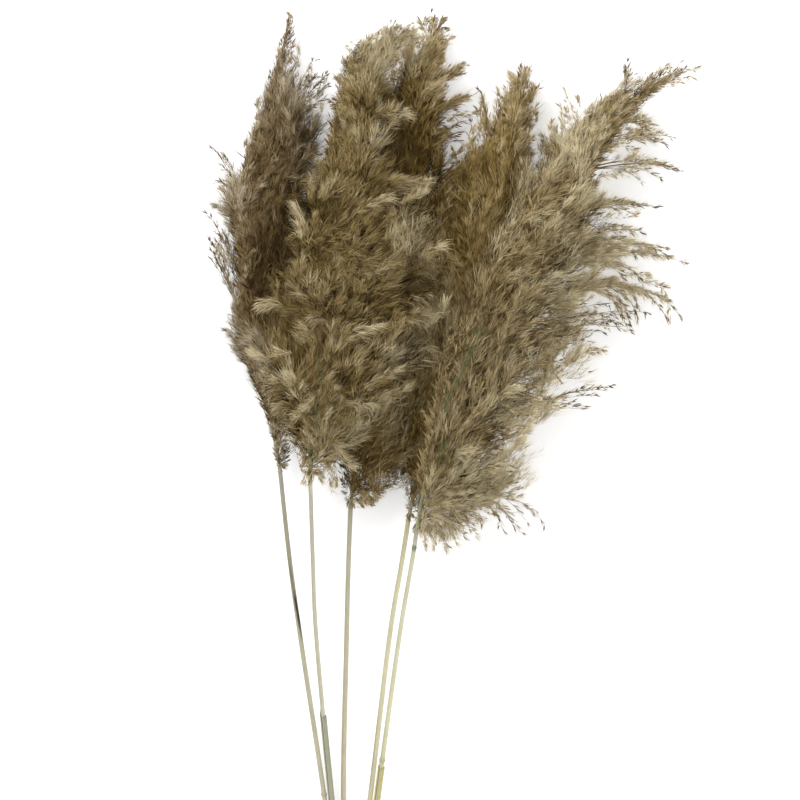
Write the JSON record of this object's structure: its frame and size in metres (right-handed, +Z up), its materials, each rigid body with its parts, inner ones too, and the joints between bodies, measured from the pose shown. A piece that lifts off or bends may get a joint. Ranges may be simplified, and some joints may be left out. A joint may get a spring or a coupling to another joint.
{
  "type": "bunch of dried pampas grass",
  "caption": "Loose bunch of dried pampas grass lying on its side: feathery brown and tan plumes on thin straw stems that run together at their cut ends.",
  "frame": {"origin": "centre of the bunch's footprint, on the surface that it lies on", "axes": "+Y from the cut ends of the stems to the plume tips, +X to the picture's right, +Z up from the surface"},
  "size_m": [0.4368, 0.8126, 0.1223],
  "materials": {
    "plume_dark": "silky matt hair, dark brown",
    "plume_olive": "silky matt hair, olive tan",
    "plume_warm": "silky matt hair, warm brown",
    "plume_light": "silky matt hair, light tan",
    "stem_straw": "satin straw with fine lengthwise lines",
    "sheath_green": "matt dried leaf, grey green",
    "sheath_yellow": "satin dried leaf, yellow"
  },
  "bodies": {
    "root": {"plume_1": "plume_dark", "plume_2": "plume_olive", "plume_3": "plume_dark", "plume_4": "plume_warm", "plume_5": "plume_light", "stem_1": "stem_straw", "stem_2": "stem_straw", "stem_3": "stem_straw", "stem_4": "stem_straw", "stem_5": "stem_straw", "sheath_2": "sheath_green", "sheath_5": "sheath_yellow"}
  },
  "joints": []
}
